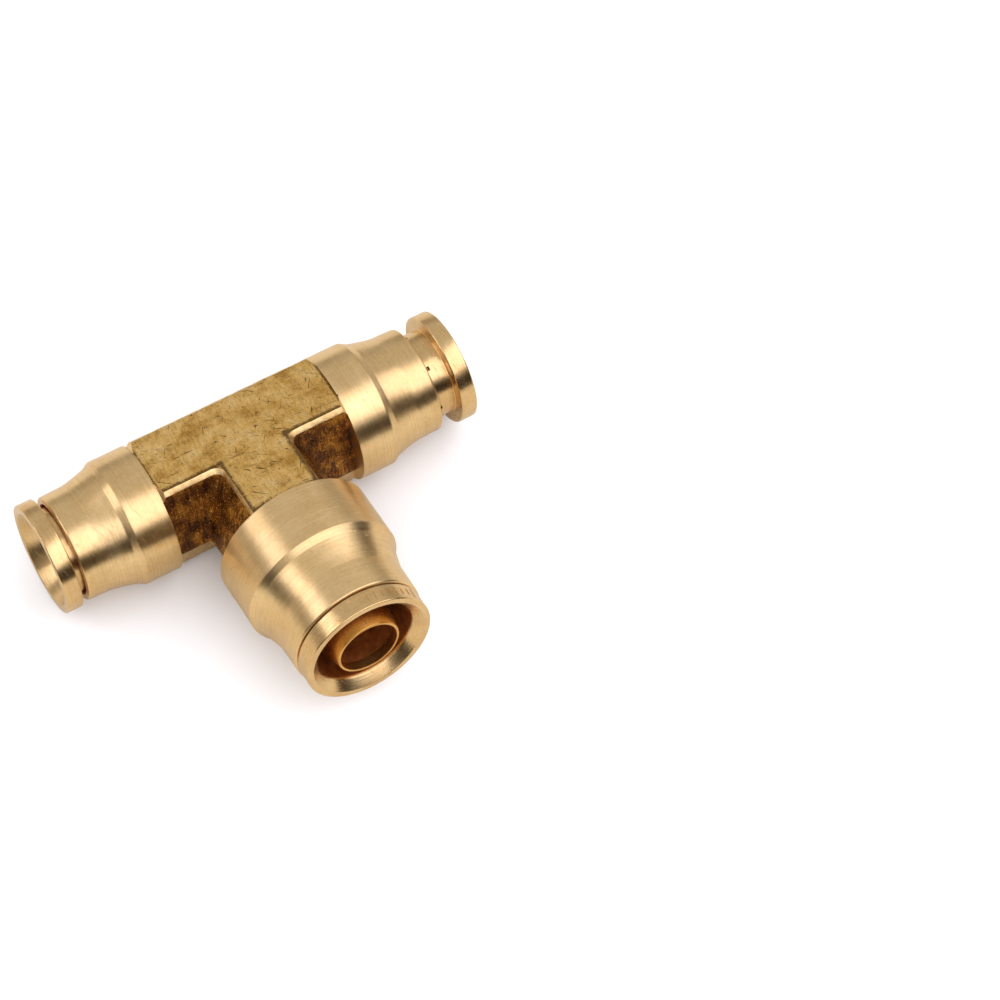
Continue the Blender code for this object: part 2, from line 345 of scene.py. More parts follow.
# --- Materials ------------------------------------------------------------------------
STAIN_BROWN = (0.24, 0.13, 0.05, 1)
DIRT_BROWN = (0.16, 0.09, 0.03, 1)
# dark brown of the pits, the scratches and the painted shade along the flats' edges
PIT_AND_SHADE_BROWN = (0.085, 0.045, 0.012, 1)
# painted highlight: the pale gold flecks on the forged sides
PAINTED_GLINT_GOLD = (1.0, 0.72, 0.36, 1)
ALONG_TURNING = 0.25     # a quarter turn of the anisotropy, onto the tool marks


class Nodes:
    """A short way to write node networks."""

    def __init__(self, tree):
        self.tree = tree

    def add(self, kind, links=None, **settings):
        node = self.tree.nodes.new(kind)
        for key, value in settings.items():
            setattr(node, key, value)
        for key, value in (links or {}).items():
            self.set(node, key, value)
        return node

    def set(self, node, key, value):
        """Links the value to the socket if it is a socket, and else sets it there."""
        socket = node.inputs[key]
        if isinstance(value, bpy.types.NodeSocket):
            self.tree.links.new(value, socket)
        else:
            socket.default_value = value

    def math(self, operation, a, b=0.0, c=0.0):
        return self.add("ShaderNodeMath", {0: a, 1: b, 2: c}, operation=operation).outputs[0]

    def ramp(self, value, stops):
        """Colour stops as (position, (red, green, blue)) or (position, grey)."""
        node = self.add("ShaderNodeValToRGB", {"Fac": value})
        elements = node.color_ramp.elements
        while len(elements) < len(stops):
            elements.new(0.5)
        for element, (position, colour) in zip(elements, stops):
            element.position = position
            grey = isinstance(colour, (int, float))
            element.color = (colour,) * 3 + (1,) if grey else (*colour, 1)
        return node.outputs["Color"]

    def mix(self, factor, a, b, blend="MIX"):
        node = self.add("ShaderNodeMix", data_type="RGBA", blend_type=blend)
        self.set(node, 0, factor)
        self.set(node, 6, a)
        self.set(node, 7, b)
        return node.outputs[2]

    def noise(self, vector, scale, detail=4.0, roughness=0.55, distortion=0.0):
        node = self.add("ShaderNodeTexNoise", {
            "Vector": vector, "Scale": scale, "Detail": detail,
            "Roughness": roughness, "Distortion": distortion})
        return node.outputs["Fac"]

    def stretched(self, vector, scale):
        """The coordinates, multiplied per axis."""
        node = self.add("ShaderNodeMapping", {"Vector": vector, "Scale": scale})
        return node.outputs["Vector"]

    def bump(self, height, strength, distance_mm):
        links = {"Height": height, "Strength": strength, "Distance": distance_mm * MM}
        return self.add("ShaderNodeBump", links).outputs["Normal"]


def new_material(name):
    """A material, its nodes and shader, and coordinates as they come and in mm."""
    material = bpy.data.materials.new(name)
    material.use_nodes = True
    nodes = Nodes(material.node_tree)
    shader = material.node_tree.nodes["Principled BSDF"]
    coordinates = nodes.add("ShaderNodeTexCoord")
    millimetres = nodes.stretched(coordinates.outputs["Object"], (1 / MM,) * 3)
    return material, nodes, shader, coordinates, millimetres


def turned_brass(name, light, dark, roughness, lines=1.0):
    """Brass fresh from the lathe. Its fine rings stretch a highlight along the axis and
    break up its edges, and a few stains, specks and nicks show in it. `lines` is how
    strong the rings are."""
    material, nodes, shader, coordinates, place_mm = new_material(name)
    along = coordinates.outputs["UV"]
    rings = nodes.noise(nodes.stretched(along, (7.0, 4.5, 1.0)), 1.0, detail=3.0, roughness=0.7)
    bands = nodes.noise(nodes.stretched(along, (3.0, 0.8, 1.0)), 1.0, detail=2.0)
    cloud = nodes.noise(place_mm, 0.22, detail=5.0, roughness=0.6)
    speck = nodes.noise(place_mm, 2.6, detail=4.0, roughness=0.7)
    tone = nodes.math("MULTIPLY_ADD", rings, 0.35 * lines, nodes.math("MULTIPLY", cloud, 0.4))
    tone = nodes.math("MULTIPLY_ADD", speck, 0.25, tone)
    colour = nodes.ramp(tone, [(0.38, dark), (0.6, light)])
    stain = nodes.ramp(nodes.noise(place_mm, 1.1, detail=6.0, roughness=0.85), [
        (0.27, 1.0), (0.32, 0.0)])
    colour = nodes.mix(nodes.math("MULTIPLY", stain, 0.8), colour, STAIN_BROWN)
    nodes.set(shader, "Base Color", colour)
    shader.inputs["Metallic"].default_value = 1.0
    rough = nodes.math("MULTIPLY_ADD", bands, 0.16 * lines, roughness - 0.08 * lines)
    nodes.set(shader, "Roughness", nodes.math("MULTIPLY_ADD", cloud, 0.08, rough))
    shader.inputs["Anisotropic"].default_value = 0.7
    shader.inputs["Anisotropic Rotation"].default_value = ALONG_TURNING
    tangent = nodes.add("ShaderNodeTangent", direction_type="UV_MAP", uv_map="turning")
    nodes.set(shader, "Tangent", tangent.outputs["Tangent"])
    height = nodes.math("MULTIPLY", rings, nodes.math("MULTIPLY_ADD", bands, 1.6, 0.2))
    height = nodes.math("MULTIPLY_ADD", cloud, 1.5, height)
    nicks = gouges(nodes, place_mm, 62, 2.4, 0.2, 0.7)
    height = nodes.math("MULTIPLY_ADD", nicks, -1.2, height)
    nodes.set(shader, "Normal", nodes.bump(height, 0.9, 0.022 * lines))
    return material


def gouges(nodes, place_mm, angle, length, width, cut, bend=0.6):
    """Short scratches of about this length and width in mm, in one main direction. The
    higher the cut, the fewer there are."""
    turn = nodes.add("ShaderNodeMapping", {
        "Vector": place_mm, "Rotation": (0, 0, math.radians(angle))})
    field = nodes.noise(nodes.stretched(turn.outputs["Vector"], (1 / length, 1 / width, 0.0)),
                        1.0, detail=2.0, roughness=0.5, distortion=bend)
    return nodes.ramp(field, [(cut, 0.0), (cut + 0.035, 1.0)])


def near(nodes, value, centre, reach):
    """1 where the value is at the centre, falling to 0 at `reach` from it."""
    off = nodes.math("ABSOLUTE", nodes.math("SUBTRACT", value, centre))
    share = nodes.math("MINIMUM", nodes.math("DIVIDE", off, reach), 1.0)
    return nodes.math("SUBTRACT", 1.0, share)


def edge_dirt_and_shade(nodes, place_mm):
    """Dirt and painted shade along the edges of the flats: by the barrels, and along the bevels
    on the branch's side."""
    parts = nodes.add("ShaderNodeSeparateXYZ", {"Vector": place_mm})
    across = nodes.math("ABSOLUTE", parts.outputs["X"])
    ahead = nodes.math("MULTIPLY", parts.outputs["Y"], -1.0)
    beyond_arm = nodes.math("GREATER_THAN", across, ARM_TOP_HALF - 0.3)
    on_arm = nodes.math("GREATER_THAN", ahead, RUN_TOP_HALF - 0.5)
    by_runs = near(nodes, across, LEFT.shoulder, 0.8)
    by_branch = near(nodes, ahead, BRANCH.shoulder - 1.0, 1.6)
    front = nodes.math("MULTIPLY", near(nodes, ahead, RUN_TOP_HALF, 1.3), beyond_arm)
    arm_side = nodes.math("MULTIPLY", near(nodes, across, ARM_TOP_HALF, 1.1), on_arm)
    worst = nodes.math("MAXIMUM", nodes.math("MAXIMUM", by_runs, by_branch),
                       nodes.math("MAXIMUM", front, arm_side))
    broken = nodes.noise(place_mm, 2.4, detail=6.0, roughness=0.8)
    return nodes.ramp(nodes.math("MULTIPLY", worst, broken), [(0.27, 0.0), (0.44, 1.0)])


def forged_flat():
    """The flats: dull gold, cloudy, with dark pits, dirt and painted shade along their edges,
    and stray scratches.
    """
    material, nodes, shader, _, place_mm = new_material("forged_flat_brass")
    cloud = nodes.noise(place_mm, 0.3, detail=9.0, roughness=0.75)
    colour = nodes.ramp(cloud, [
        (0.36, (0.56, 0.29, 0.06)), (0.5, (0.86, 0.54, 0.17)), (0.66, (0.98, 0.68, 0.3))])
    grain = nodes.noise(place_mm, 5.0, detail=5.0, roughness=0.75)
    brushed = nodes.noise(nodes.stretched(place_mm, (3.2, 0.6, 1.0)), 1.0, detail=5.0,
                          roughness=0.8)
    specks = nodes.noise(place_mm, 1.3, detail=7.0, roughness=0.85)
    pits = nodes.ramp(specks, [(0.355, 1.0), (0.4, 0.0)])
    marks = nodes.math("MAXIMUM", gouges(nodes, place_mm, 38, 3.6, 0.34, 0.67, bend=1.0),
                       gouges(nodes, place_mm, 118, 2.6, 0.3, 0.68))
    marks = nodes.math("MAXIMUM", marks, gouges(nodes, place_mm, 5, 4.2, 0.4, 0.675, bend=2.2))
    # dark marks: pits, scratches, and dirt with painted shade along the edges
    dark = nodes.math("MAXIMUM", nodes.math("MAXIMUM", pits, marks), edge_dirt_and_shade(nodes, place_mm))
    texture = nodes.math("MULTIPLY_ADD", grain, 0.5, nodes.math("MULTIPLY", brushed, 0.5))
    tint = nodes.ramp(texture, [(0.4, 0.55), (0.54, 1.0)])
    colour = nodes.mix(0.85, colour, tint, "MULTIPLY")
    # pits, scratches and the painted edge shade all take the same dark brown
    colour = nodes.mix(nodes.math("MULTIPLY", dark, 0.85), colour, PIT_AND_SHADE_BROWN)
    nodes.set(shader, "Base Color", colour)
    shader.inputs["Metallic"].default_value = 0.95
    rough = nodes.math("MULTIPLY_ADD", grain, 0.35, 0.22)
    nodes.set(shader, "Roughness", nodes.math("MULTIPLY_ADD", dark, 0.3, rough))
    height = nodes.math("MULTIPLY_ADD", brushed, 1.1, nodes.math("MULTIPLY", grain, 0.5))
    height = nodes.math("MULTIPLY_ADD", cloud, 1.4, height)
    nodes.set(shader, "Normal", nodes.bump(nodes.math("SUBTRACT", height, dark), 0.85, 0.06))
    return material


def forged_side():
    """The die-forged sides: dark glossy bronze, with amber glints and pale flecks painted into
    the colour as highlights.
    """
    material, nodes, shader, _, place_mm = new_material("forged_side_brass")
    streak = nodes.noise(nodes.stretched(place_mm, (3.0, 3.0, 0.4)), 1.0, detail=4.0,
                         roughness=0.65)
    patch = nodes.noise(place_mm, 0.34, detail=5.0, roughness=0.6)
    fleck = nodes.noise(place_mm, 3.4, detail=5.0, roughness=0.8)
    tone = nodes.math("MULTIPLY_ADD", streak, 0.25, nodes.math("MULTIPLY", patch, 0.45))
    tone = nodes.math("MULTIPLY_ADD", fleck, 0.3, tone)
    # the amber stops paint glints into the colour: painted highlights
    colour = nodes.ramp(tone, [
        (0.42, (0.06, 0.02, 0.004)), (0.5, (0.25, 0.09, 0.014)),
        (0.57, (0.7, 0.32, 0.045)), (0.64, (1.0, 0.62, 0.18))])
    # pale gold specks painted in as glints
    painted_glint = nodes.ramp(fleck, [(0.62, 0.0), (0.66, 1.0)])
    colour = nodes.mix(nodes.math("MULTIPLY", painted_glint, 0.8), colour, PAINTED_GLINT_GOLD)
    nodes.set(shader, "Base Color", colour)
    shader.inputs["Metallic"].default_value = 0.96
    nodes.set(shader, "Roughness", nodes.math("MULTIPLY_ADD", fleck, 0.4, 0.02))
    height = nodes.math("MULTIPLY_ADD", patch, 1.6, nodes.math("MULTIPLY", streak, 0.5))
    height = nodes.math("MULTIPLY_ADD", fleck, 0.5, height)
    nodes.set(shader, "Normal", nodes.bump(height, 1.0, 0.3))
    return material


def forged_edge():
    """Bevels and the lower faces: brass rubbed bright, with a ragged, dirty edge."""
    material, nodes, shader, _, place_mm = new_material("forged_edge_brass")
    cloud = nodes.noise(place_mm, 0.9, detail=5.0, roughness=0.65)
    colour = nodes.ramp(cloud, [(0.35, (0.66, 0.42, 0.16)), (0.6, (0.92, 0.66, 0.33))])
    grain = nodes.noise(place_mm, 3.0, detail=5.0, roughness=0.75)
    dirt = nodes.ramp(grain, [(0.33, 1.0), (0.4, 0.0)])
    nodes.set(shader, "Base Color", nodes.mix(dirt, colour, DIRT_BROWN))
    shader.inputs["Metallic"].default_value = 1.0
    nodes.set(shader, "Roughness", nodes.math("MULTIPLY_ADD", grain, 0.3, 0.2))
    nodes.set(shader, "Normal", nodes.bump(grain, 0.5, 0.05))
    return material


def bore_shade_brass():
    """Inside the ports: brass painted a darker red-brown, as painted shade for the inside of the
    bores.
    """
    material, nodes, shader, _, place_mm = new_material("bore_shade_brass")
    cloud = nodes.noise(place_mm, 0.8, detail=4.0)
    nodes.set(shader, "Base Color", nodes.ramp(cloud, [
        (0.35, (0.36, 0.09, 0.015)), (0.7, (0.56, 0.19, 0.045))]))
    shader.inputs["Metallic"].default_value = 0.75
    nodes.set(shader, "Roughness", nodes.math("MULTIPLY_ADD", cloud, 0.2, 0.35))
    nodes.set(shader, "Normal", nodes.bump(cloud, 0.3, 0.05))
    return material


def rubber():
    """Black nitrile with a faint bloom and moulding grain."""
    material, nodes, shader, _, place_mm = new_material("nitrile_rubber")
    grain = nodes.noise(place_mm, 6.0, detail=5.0, roughness=0.7)
    bloom = nodes.noise(place_mm, 0.9, detail=3.0)
    nodes.set(shader, "Base Color", nodes.ramp(bloom, [
        (0.35, (0.008, 0.008, 0.009)), (0.7, (0.03, 0.03, 0.032))]))
    nodes.set(shader, "Roughness", nodes.math("MULTIPLY_ADD", grain, 0.2, 0.45))
    nodes.set(shader, "Normal", nodes.bump(grain, 0.3, 0.02))
    return material


def acetal():
    """White acetal, slightly cloudy, with the lathe's rings."""
    material, nodes, shader, coordinates, place_mm = new_material("white_acetal")
    cloud = nodes.noise(place_mm, 0.9, detail=3.0)
    rings_at = nodes.stretched(coordinates.outputs["UV"], (3.0, 3.0, 1.0))
    rings = nodes.noise(rings_at, 1.0, detail=3.0)
    nodes.set(shader, "Base Color", nodes.ramp(cloud, [
        (0.3, (0.66, 0.65, 0.6)), (0.7, (0.8, 0.79, 0.75))]))
    nodes.set(shader, "Roughness", nodes.math("MULTIPLY_ADD", rings, 0.2, 0.3))
    nodes.set(shader, "Normal", nodes.bump(rings, 0.2, 0.01))
    return material


PALE_BRASS = (0.92, 0.67, 0.35)
BARREL = turned_brass("turned_brass", PALE_BRASS, (0.74, 0.48, 0.21), 0.27)
COLLAR = turned_brass("collar_brass", PALE_BRASS, (0.72, 0.46, 0.2), 0.22, lines=0.8)
SLEEVE = turned_brass("sleeve_brass", (0.98, 0.6, 0.2), (0.7, 0.36, 0.09), 0.24, lines=0.5)
# painted shade for the inside of the bores: a darker red-brown brass
BORE_SHADE = bore_shade_brass()
FLAT = forged_flat()
SIDE = forged_side()
EDGE = forged_edge()
RUBBER = rubber()
ACETAL = acetal()
BODY_MATERIALS = [FLAT, SIDE, BARREL, BORE_SHADE, EDGE]
ON_FLAT, ON_SIDE, ON_BARREL, ON_BORE_SHADE, ON_EDGE = range(len(BODY_MATERIALS))
BORE_SHADE_SLOT = 1            # the painted bore shade, second of a support's and a collet's two materials


# --- Forged block ---------------------------------------------------------------------
def block_section():
    """(height, run half width, arm half width) down the block's side, top to bottom."""
    run_edge = RUN_TOP_HALF + EDGE_BEVEL
    arm_edge = ARM_TOP_HALF + ARM_BEVEL_WIDTH
    upper = FLAT_TOP - EDGE_BEVEL
    section = [(FLAT_TOP, RUN_TOP_HALF - FLAT_INSET, ARM_TOP_HALF - FLAT_INSET),
               (FLAT_TOP, RUN_TOP_HALF, ARM_TOP_HALF)]
    for row in range(DRAFT_ROWS + 1):
        share = row / DRAFT_ROWS
        height = upper + (PARTING_HEIGHT - upper) * share
        bulge = math.sin(share * math.pi / 2)
        section.append((height, run_edge + RUN_DRAFT * share, arm_edge + ARM_DRAFT * bulge))
    parting = len(section) - 1
    run_low = section[-1][1] - RUN_UNDERCUT
    arm_low = section[-1][2] - ARM_UNDERCUT
    section.append((LOWER_BEVEL, run_low, arm_low))
    run_foot = run_low - LOWER_BEVEL
    arm_foot = arm_low - LOWER_BEVEL
    section.append((0, run_foot, arm_foot))
    section.append((0, run_foot - FLAT_INSET, arm_foot - FLAT_INSET))
    radii = {1: 0.16, 2: 0.16, parting: 0.12, parting + 1: 0.25, parting + 2: 0.2}
    return rounded(section, radii, closed=False, steps=3)


def block_outline(run_half, arm_half, run_end, arm_end, corner, guide):
    """The T shape seen from above, with the same number of points at every level.
    `guide` is how many points each stretch takes: run, corner, arm and back."""
    run_count, corner_count, arm_count, back_count = guide
    centre_x = arm_half + corner
    centre_y = run_half + corner
    right = []
    for k in range(run_count):
        t = k / run_count
        right.append((run_end + (centre_x - run_end) * t, run_half))
    for k in range(corner_count):
        angle = math.pi / 2 * k / corner_count
        right.append((centre_x - corner * math.sin(angle),
                      centre_y - corner * math.cos(angle)))
    for k in range(arm_count + 1):
        t = k / arm_count
        right.append((arm_half, centre_y + (arm_end - centre_y) * t))
    left = [(-x, y) for x, y in reversed(right)]
    back = []
    for k in range(back_count + 1):
        t = k / back_count
        back.append((-run_end + 2 * run_end * t, -run_half))
    return [(x, -y) for x, y in right + left + back]


def wobble(x, y, z):
    """How uneven the forging is at a point: a smooth offset in mm."""
    point = Vector((x, y, z)) + Vector((WOBBLE_SEED, 2 * WOBBLE_SEED, 3 * WOBBLE_SEED))
    coarse = noise.noise(point * 0.45) * 0.07
    medium = noise.noise(point * 1.3) * 0.035
    return coarse + medium


def forged_place(x, y, height, run_half, run_end, arm_end):
    """A point of the block's outline, moved outwards by the wobble. The inner ring of the
    upper flat and the stretches beside the barrels stay where they are."""
    inner_ring = height == FLAT_TOP and run_half < RUN_TOP_HALF - FLAT_INSET / 2
    by_run = abs(x) >= run_end - WOBBLE_MARGIN
    by_branch = abs(y) >= arm_end - WOBBLE_MARGIN
    push = 0 if inner_ring or by_run or by_branch else wobble(x, y, height)
    on_arm = abs(y) > run_half + ARM_MARGIN and y < 0
    if on_arm:
        return x + math.copysign(push, x), y, height
    return x, y + math.copysign(push, y), height


def block_material(height):
    if height > FLAT_TOP - FLAT_BAND or height < FLAT_BAND:
        return ON_FLAT
    if height > FLAT_TOP - EDGE_BEVEL or height < PARTING_HEIGHT:
        return ON_EDGE
    return ON_SIDE


def add_block():
    run_end = LEFT.shoulder + SHOULDER_LAP
    arm_end = BRANCH.shoulder + SHOULDER_LAP
    guide = (round((run_end - ARM_TOP_HALF) / OUTLINE_STEP), CORNER_POINTS,
             round((arm_end - RUN_TOP_HALF) / OUTLINE_STEP),
             round(2 * run_end / OUTLINE_STEP))
    builder = bmesh.new()
    builder.loops.layers.uv.new("turning")
    loops = []
    section = block_section()
    for height, run_half, arm_half in section:
        depth = max(0, 1 - height / FLAT_TOP)
        corner = CORNER_RADIUS + (LOW_CORNER_RADIUS - CORNER_RADIUS) * math.sqrt(depth)
        outline = block_outline(run_half, arm_half, run_end, arm_end, corner, guide)
        loops.append([
            builder.verts.new(forged_place(x, y, height, run_half, run_end, arm_end))
            for x, y in outline])
    top = builder.faces.new(loops[0])
    bottom = builder.faces.new(loops[-1])
    top.material_index = bottom.material_index = ON_FLAT
    count = len(loops[0])
    for row, (upper, lower) in enumerate(zip(loops, loops[1:])):
        slot = block_material((section[row][0] + section[row + 1][0]) / 2)
        for i in range(count):
            j = (i + 1) % count
            face = builder.faces.new((upper[i], upper[j], lower[j], lower[i]))
            face.material_index = slot
    bmesh.ops.recalc_face_normals(builder, faces=builder.faces)
    place(builder, Matrix.Identity(4))
    return finish_mesh("tee_body", builder, BODY_MATERIALS)


# --- Turned barrels and bores ---------------------------------------------------------
def barrel_outline(port):
    """The root in the block, the cylinder, the ridge, the flare and the nose."""
    root = RUN_TOP_HALF - ROOT_INSET
    root_start = port.shoulder - ROOT_LENGTH
    step_end = port.ridge + STEP_LENGTH
    flare_top = port.wide - port.step_drop
    flare_drop = flare_top - port.nose
    outline = [
        (0, root_start),
        (root, root_start),
        (root, port.shoulder),
        (port.wide, port.shoulder),
        (port.wide, port.shoulder + SHOULDER_BAND),
        (port.wide, port.ridge),
    ]
    for i in range(FLARE_ROWS + 1):
        share = i / FLARE_ROWS
        distance = step_end + (port.flare_end - step_end) * share
        drop = math.sin(share * FLARE_BEND) / math.sin(FLARE_BEND)
        outline.append((flare_top - flare_drop * drop, distance))
    mouth = port.nose - NOSE_TAPER
    corner = len(outline)
    outline.append((mouth, port.mouth))
    outline.append((0, port.mouth))
    radii = {3: 0.08, 5: 0.1, 6: 0.1, corner - 1: 0.15, corner: MOUTH_ROUND}
    return rounded(outline, radii, steps=5)


def bore_outline(port):
    """What is bored out of a barrel: the support's seat, the tube's bore, the seal's
    gland, the collet's chamber and the narrower lip at the mouth."""
    flange = port.support_flange + FIT_GAP
    seat = port.support_start - SEAT_GAP
    stop = port.support_start + STOP_LENGTH
    gland = port.seal_outer + FIT_GAP
    seal_start = port.seal_centre - port.seal_section / 2 - GROOVE_GAP
    ramp_end = port.mouth - LIP_LENGTH
    outline = [
        (0, seat),
        (flange, seat),
        (flange, stop),
        (port.bore, stop),
        (port.bore, seal_start),
        (gland, seal_start),
        (gland, port.ring_end),
        (port.chamber, port.ring_end + GROOVE_GAP),
        (port.chamber, ramp_end - RAMP_LENGTH),
        (port.lip, ramp_end),
        (port.lip, port.mouth - MOUTH_ROUND / 2),
        (port.lip + MOUTH_ROUND, port.mouth + MOUTH_ROUND / 2),
        (0, port.mouth + MOUTH_ROUND / 2),
    ]
    return rounded(outline, {7: 0.3, 8: 0.2, 9: 0.2, 10: 0.1}, steps=3)


def passage_outline(port, start):
    """The drilled way from one port towards the others."""
    end = port.support_start
    return [(0, start), (port.passage, start), (port.passage, end), (0, end)]


def shoulder_outline(port):
    """What the lathe takes off the block's corners beside a barrel."""
    inner = port.wide + FIT_GAP
    outer = inner + CUT_REACH
    return [
        (inner, port.shoulder),
        (outer, port.shoulder - CUT_REACH * SHOULDER_SLOPE),
        (outer, port.shoulder + CUT_REACH),
        (inner, port.shoulder + CUT_REACH),
    ]


def add_body():
    body = add_block()
    for port in PORTS:
        corner_cut = turned("corner_cut", shoulder_outline(port), port.matrix(),
                            BODY_MATERIALS, ON_BARREL)
        combine(body, corner_cut, "DIFFERENCE")
    for port in PORTS:
        barrel = turned("barrel", barrel_outline(port), port.matrix(), BODY_MATERIALS, ON_BARREL)
        combine(body, barrel, "UNION")
    for port in PORTS:
        # the bores' faces take the darker brass that paints their shade
        bore = turned("bore", bore_outline(port), port.matrix(), BODY_MATERIALS, ON_BORE_SHADE)
        combine(body, bore, "DIFFERENCE")
    for port, start in ((RIGHT, -LEFT.support_start), (BRANCH, BRANCH_DRILL_START)):
        drill = turned("drill", passage_outline(port, start), port.matrix(),
                       BODY_MATERIALS, ON_BORE_SHADE)
        combine(body, drill, "DIFFERENCE")
    smooth_again(body)
    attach(body, "fitting")
    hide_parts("body")


# --- What each port holds -------------------------------------------------------------
def paint_bore_shade(made, port, radius, limit):
    """Gives the bore's material, a darker brass painted as shade, to the faces inside a radius
    and behind a distance.
    """
    home = port.matrix().inverted() @ Matrix.Scale(1 / MM, 4)
    for face in made.data.polygons:
        centre = home @ face.center
        if math.hypot(centre.x, centre.y) < radius and centre.z < limit:
            face.material_index = BORE_SHADE_SLOT


def add_support(port):
    inner = port.support_bore
    start = port.support_start
    shelf = start + SUPPORT_SHELF
    nose = port.support_tip - port.support_nose
    tip = port.support_radius - port.support_step
    outline = [
        (inner, start),
        (port.support_flange, start),
        (port.support_flange, shelf),
        (port.support_radius, shelf),
        (port.support_radius, nose),
        (tip, port.support_tip),
        (tip - SUPPORT_LIP, port.support_tip),
        (inner, nose),
    ]
    radii = {1: 0.1, 2: 0.1, 4: 0.8, 5: 0.12, 6: 0.1, 7: 0.8}
    made = turned(f"{port.name}_sleeve", rounded(outline, radii), port.matrix(),
                  [SLEEVE, BORE_SHADE])
    paint_bore_shade(made, port, inner + BORE_MARGIN, port.support_tip - SUPPORT_SHADE_START)
    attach(made, "fitting")
    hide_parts(f"{port.name}_tube_support")


def add_seal(port):
    section = port.seal_section / 2
    middle = port.seal_outer - section
    outline = []
    for i in range(SEAL_SIDES):
        angle = 2 * math.pi * i / SEAL_SIDES
        outline.append((middle + section * math.cos(angle),
                        port.seal_centre + section * math.sin(angle)))
    made = turned(f"{port.name}_seal", outline, port.matrix(), [RUBBER])
    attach(made, "fitting")
    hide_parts(f"{port.name}_o_ring")


def add_backup_ring(port):
    inner = port.bore + FIT_GAP
    outline = [
        (inner, port.ring_start),
        (port.ring_outer, port.ring_start),
        (port.ring_outer, port.ring_end),
        (inner, port.ring_end),
    ]
    outline = rounded(outline, {0: 0.15, 1: 0.1, 2: 0.1, 3: 0.15})
    made = turned(f"{port.name}_spacer", outline, port.matrix(), [ACETAL])
    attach(made, f"{port.name}_ring")
    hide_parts(f"{port.name}_backup_ring")


def collet_outline(port):
    """Flange with a countersunk cone, neck, and toothed head."""
    flange = port.collar_radius
    front = port.collar_front
    back = port.flange_back
    cone = flange - port.cone_ring
    head = port.chamber - HEAD_GAP
    slope = RAMP_LENGTH / (port.chamber - port.lip)
    head_front = port.collet_tip + HEAD_LENGTH
    ramp_end = head_front + (head - port.neck) * slope
    tooth = port.collet_tip + TOOTH_END
    outline = [
        (port.bore, port.collet_tip),
        (head, port.collet_tip),
        (head, head_front),
        (port.neck, ramp_end),
        (port.neck, back),
        (flange, back),
        (flange, front),
        (cone, front),
        (port.bore, front - port.cone_depth),
        (port.bore, tooth),
        (port.bore - TOOTH_DEPTH, tooth - TOOTH_CREST),
        (port.bore, tooth - TOOTH_LENGTH),
    ]
    radii = {1: 0.2, 3: 0.3, 4: 0.12, 5: FLANGE_ROUND * 1.2, 6: FLANGE_ROUND,
             7: 0.1, 8: 0.35}
    return rounded(outline, radii, steps=4)


def add_slot_cutter(port):
    """Boxes that part the collet's fingers, from its tip to short of its collar."""
    builder = bmesh.new()
    builder.loops.layers.uv.new("turning")
    reach = port.chamber + SLOT_MARGIN
    start = port.bore - SLOT_MARGIN
    low = port.collet_tip - SLOT_MARGIN
    high = port.flange_back - SLOT_START
    for i in range(SLOT_COUNT):
        turn = Matrix.Rotation(2 * math.pi * (i + 0.5) / SLOT_COUNT, 4, "Z")
        size = (reach - start, SLOT_WIDTH, high - low)
        middle = ((reach + start) / 2, 0, (high + low) / 2)
        grow = Matrix.Diagonal((*size, 1))
        bmesh.ops.create_cube(builder, size=1, matrix=turn @ Matrix.Translation(middle) @ grow)
    place(builder, port.matrix())
    return finish_mesh("slots", builder, [COLLAR, BORE_SHADE])


def add_mark_cutter(port):
    """A plain scale of stamped ticks on the collar's rim, every third one longer."""
    builder = bmesh.new()
    builder.loops.layers.uv.new("turning")
    middle = (port.flange_back + port.collar_front) / 2
    half_cube = 0.5
    for i in range(MARK_COUNT):
        angle = MARK_START + MARK_STEP * i
        length = MARK_LONG if i % MARK_LONG_EVERY == 0 else MARK_SHORT
        turn = Matrix.Rotation(math.radians(angle), 4, "Z")
        out = port.collar_radius + half_cube - MARK_DEPTH
        shift = Matrix.Translation((out, 0, middle))
        grow = Matrix.Diagonal((1, MARK_WIDTH, length, 1))
        bmesh.ops.create_cube(builder, size=1, matrix=turn @ shift @ grow)
    place(builder, port.matrix())
    return finish_mesh("marks", builder, [COLLAR, BORE_SHADE])


def add_collet(port):
    collet = turned(f"{port.name}_release_collet", collet_outline(port), port.matrix(),
                    [COLLAR, BORE_SHADE])
    combine(collet, add_slot_cutter(port), "DIFFERENCE")
    if port is BRANCH:
        combine(collet, add_mark_cutter(port), "DIFFERENCE")
    dark_end = port.collar_front - port.cone_depth - CONE_SHADE_START
    paint_bore_shade(collet, port, port.bore + BORE_MARGIN, dark_end)
    smooth_again(collet)
    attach(collet, f"{port.name}_gripper")
    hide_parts(f"{port.name}_collet")


# --- Floor, lights and camera ---------------------------------------------------------
def resting_plane():
    """Slope and height of the floor under the object, from the lower edge of its outline
    seen along X: the edge that the centre of the object stands over."""
    points = []
    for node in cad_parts.values():
        points += [(v.co.y / MM, v.co.z / MM) for v in node.data.vertices]
    points = sorted({(round(y, 3), round(z, 3)) for y, z in points})
    lower = []
    for point in points:
        while len(lower) > 1:
            (ay, az), (by, bz) = lower[-2:]
            if (by - ay) * (point[1] - az) - (bz - az) * (point[0] - ay) > 0:
                break
            lower.pop()
        lower.append(point)
    centre = sum(y for y, _ in points) / len(points)
    for (ay, az), (by, bz) in zip(lower, lower[1:]):
        if ay <= centre <= by:
            return math.atan2(bz - az, by - ay), az - ay * (bz - az) / (by - ay)
    raise ValueError("the object has no resting edge")


FLOOR_IN_REFLECTIONS = (0.6, 0.57, 0.5, 1)
FLOOR_SIZE = 3.0         # half its width, in metres
FLOOR_CELLS = 8


